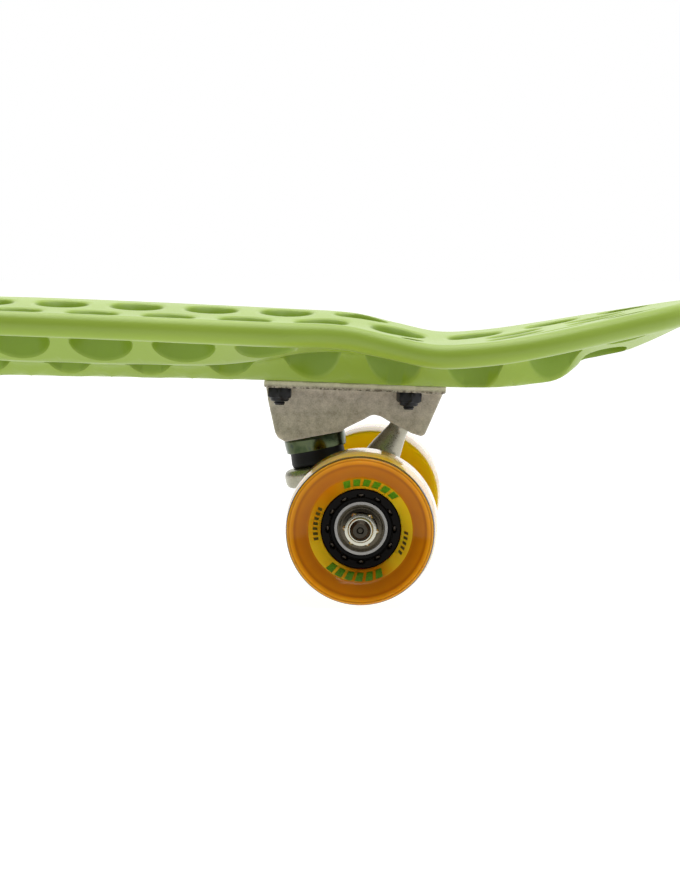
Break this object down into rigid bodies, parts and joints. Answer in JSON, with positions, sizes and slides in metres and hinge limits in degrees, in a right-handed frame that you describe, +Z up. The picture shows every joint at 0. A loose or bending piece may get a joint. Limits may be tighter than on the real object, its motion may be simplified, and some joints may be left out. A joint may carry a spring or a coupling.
{
  "type": "skateboard",
  "caption": "Small plastic cruiser skateboard with a dimpled moulded deck, kick tail, cast kingpin trucks and translucent urethane wheels on ball bearings.",
  "frame": {"origin": "ground plane under the middle of the board, where the wheels rest", "axes": "+X towards the tail, +Y towards the rider's right when facing the nose, +Z up"},
  "size_m": [0.692, 0.205, 0.1191],
  "materials": {
    "deck_plastic": "satin moulded lime green polypropylene, fine texture on the riding side",
    "cast_baseplate": "grainy as-cast warm grey aluminium",
    "cast_hanger": "tumbled smooth light grey cast aluminium",
    "steel": "bright turned and threaded steel",
    "black_steel": "black oxide fasteners, slightly oily",
    "zinc_washer": "bright zinc plate with a green and blue cast",
    "bushing_urethane": "black urethane, satin",
    "cup_plastic": "black moulded plastic",
    "wheel_urethane": "translucent amber urethane, polished faces and a smooth tread",
    "core_plastic": "glossy black moulded core",
    "bearing_steel": "ground bearing steel",
    "bearing_shield": "stamped steel shields"
  },
  "bodies": {
    "board": {"deck": "deck_plastic", "front_baseplate": "cast_baseplate", "front_kingpin": "black_steel", "front_pivot_cup": "cup_plastic", "front_top_bushing": "bushing_urethane", "front_bottom_bushing": "bushing_urethane", "front_top_washer": "zinc_washer", "front_bottom_washer": "zinc_washer", "front_kingpin_nut": "black_steel", "front_mounting_bolts": "black_steel", "front_mounting_nuts": "black_steel", "rear_baseplate": "cast_baseplate", "rear_kingpin": "black_steel", "rear_pivot_cup": "cup_plastic", "rear_top_bushing": "bushing_urethane", "rear_bottom_bushing": "bushing_urethane", "rear_top_washer": "zinc_washer", "rear_bottom_washer": "zinc_washer", "rear_kingpin_nut": "black_steel", "rear_mounting_bolts": "black_steel", "rear_mounting_nuts": "black_steel"},
    "front_truck": {"front_hanger": "cast_hanger", "front_axle": "steel", "front_axle_nuts": "steel", "front_speed_rings": "steel", "front_bearing_inner_rings": "bearing_steel", "front_bearing_spacers": "steel"},
    "front_left_wheel": {"front_left_tyre": "wheel_urethane", "front_left_core": "core_plastic", "front_left_bearing_rings": "bearing_steel", "front_left_bearing_balls": "bearing_steel", "front_left_bearing_shields": "bearing_shield"},
    "front_right_wheel": {"front_right_tyre": "wheel_urethane", "front_right_core": "core_plastic", "front_right_bearing_rings": "bearing_steel", "front_right_bearing_balls": "bearing_steel", "front_right_bearing_shields": "bearing_shield"},
    "rear_truck": {"rear_hanger": "cast_hanger", "rear_axle": "steel", "rear_axle_nuts": "steel", "rear_speed_rings": "steel", "rear_bearing_inner_rings": "bearing_steel", "rear_bearing_spacers": "steel"},
    "rear_left_wheel": {"rear_left_tyre": "wheel_urethane", "rear_left_core": "core_plastic", "rear_left_bearing_rings": "bearing_steel", "rear_left_bearing_balls": "bearing_steel", "rear_left_bearing_shields": "bearing_shield"},
    "rear_right_wheel": {"rear_right_tyre": "wheel_urethane", "rear_right_core": "core_plastic", "rear_right_bearing_rings": "bearing_steel", "rear_right_bearing_balls": "bearing_steel", "rear_right_bearing_shields": "bearing_shield"}
  },
  "joints": [
    {"name": "front_steer", "type": "hinge", "parent": "board", "child": "front_truck", "pos_m": [-0.18641, 0, 0.04536], "axis": [-0.8099, 0, 0.5866], "range_deg": [-10, 10], "stiffness_Nm_per_rad": 35, "deforming": ["front_top_bushing", "front_bottom_bushing"]},
    {"name": "front_left_spin", "type": "hinge", "parent": "front_truck", "child": "front_left_wheel", "pos_m": [-0.206, -0.0775, 0.0305], "axis": [0, 1, 0], "continuous": true},
    {"name": "front_right_spin", "type": "hinge", "parent": "front_truck", "child": "front_right_wheel", "pos_m": [-0.206, 0.0775, 0.0305], "axis": [0, 1, 0], "continuous": true},
    {"name": "rear_steer", "type": "hinge", "parent": "board", "child": "rear_truck", "pos_m": [0.18641, 0, 0.04536], "axis": [0.8099, 0, 0.5866], "range_deg": [-10, 10], "stiffness_Nm_per_rad": 35, "deforming": ["rear_top_bushing", "rear_bottom_bushing"]},
    {"name": "rear_left_spin", "type": "hinge", "parent": "rear_truck", "child": "rear_left_wheel", "pos_m": [0.206, -0.0775, 0.0305], "axis": [0, 1, 0], "continuous": true},
    {"name": "rear_right_spin", "type": "hinge", "parent": "rear_truck", "child": "rear_right_wheel", "pos_m": [0.206, 0.0775, 0.0305], "axis": [0, 1, 0], "continuous": true}
  ]
}
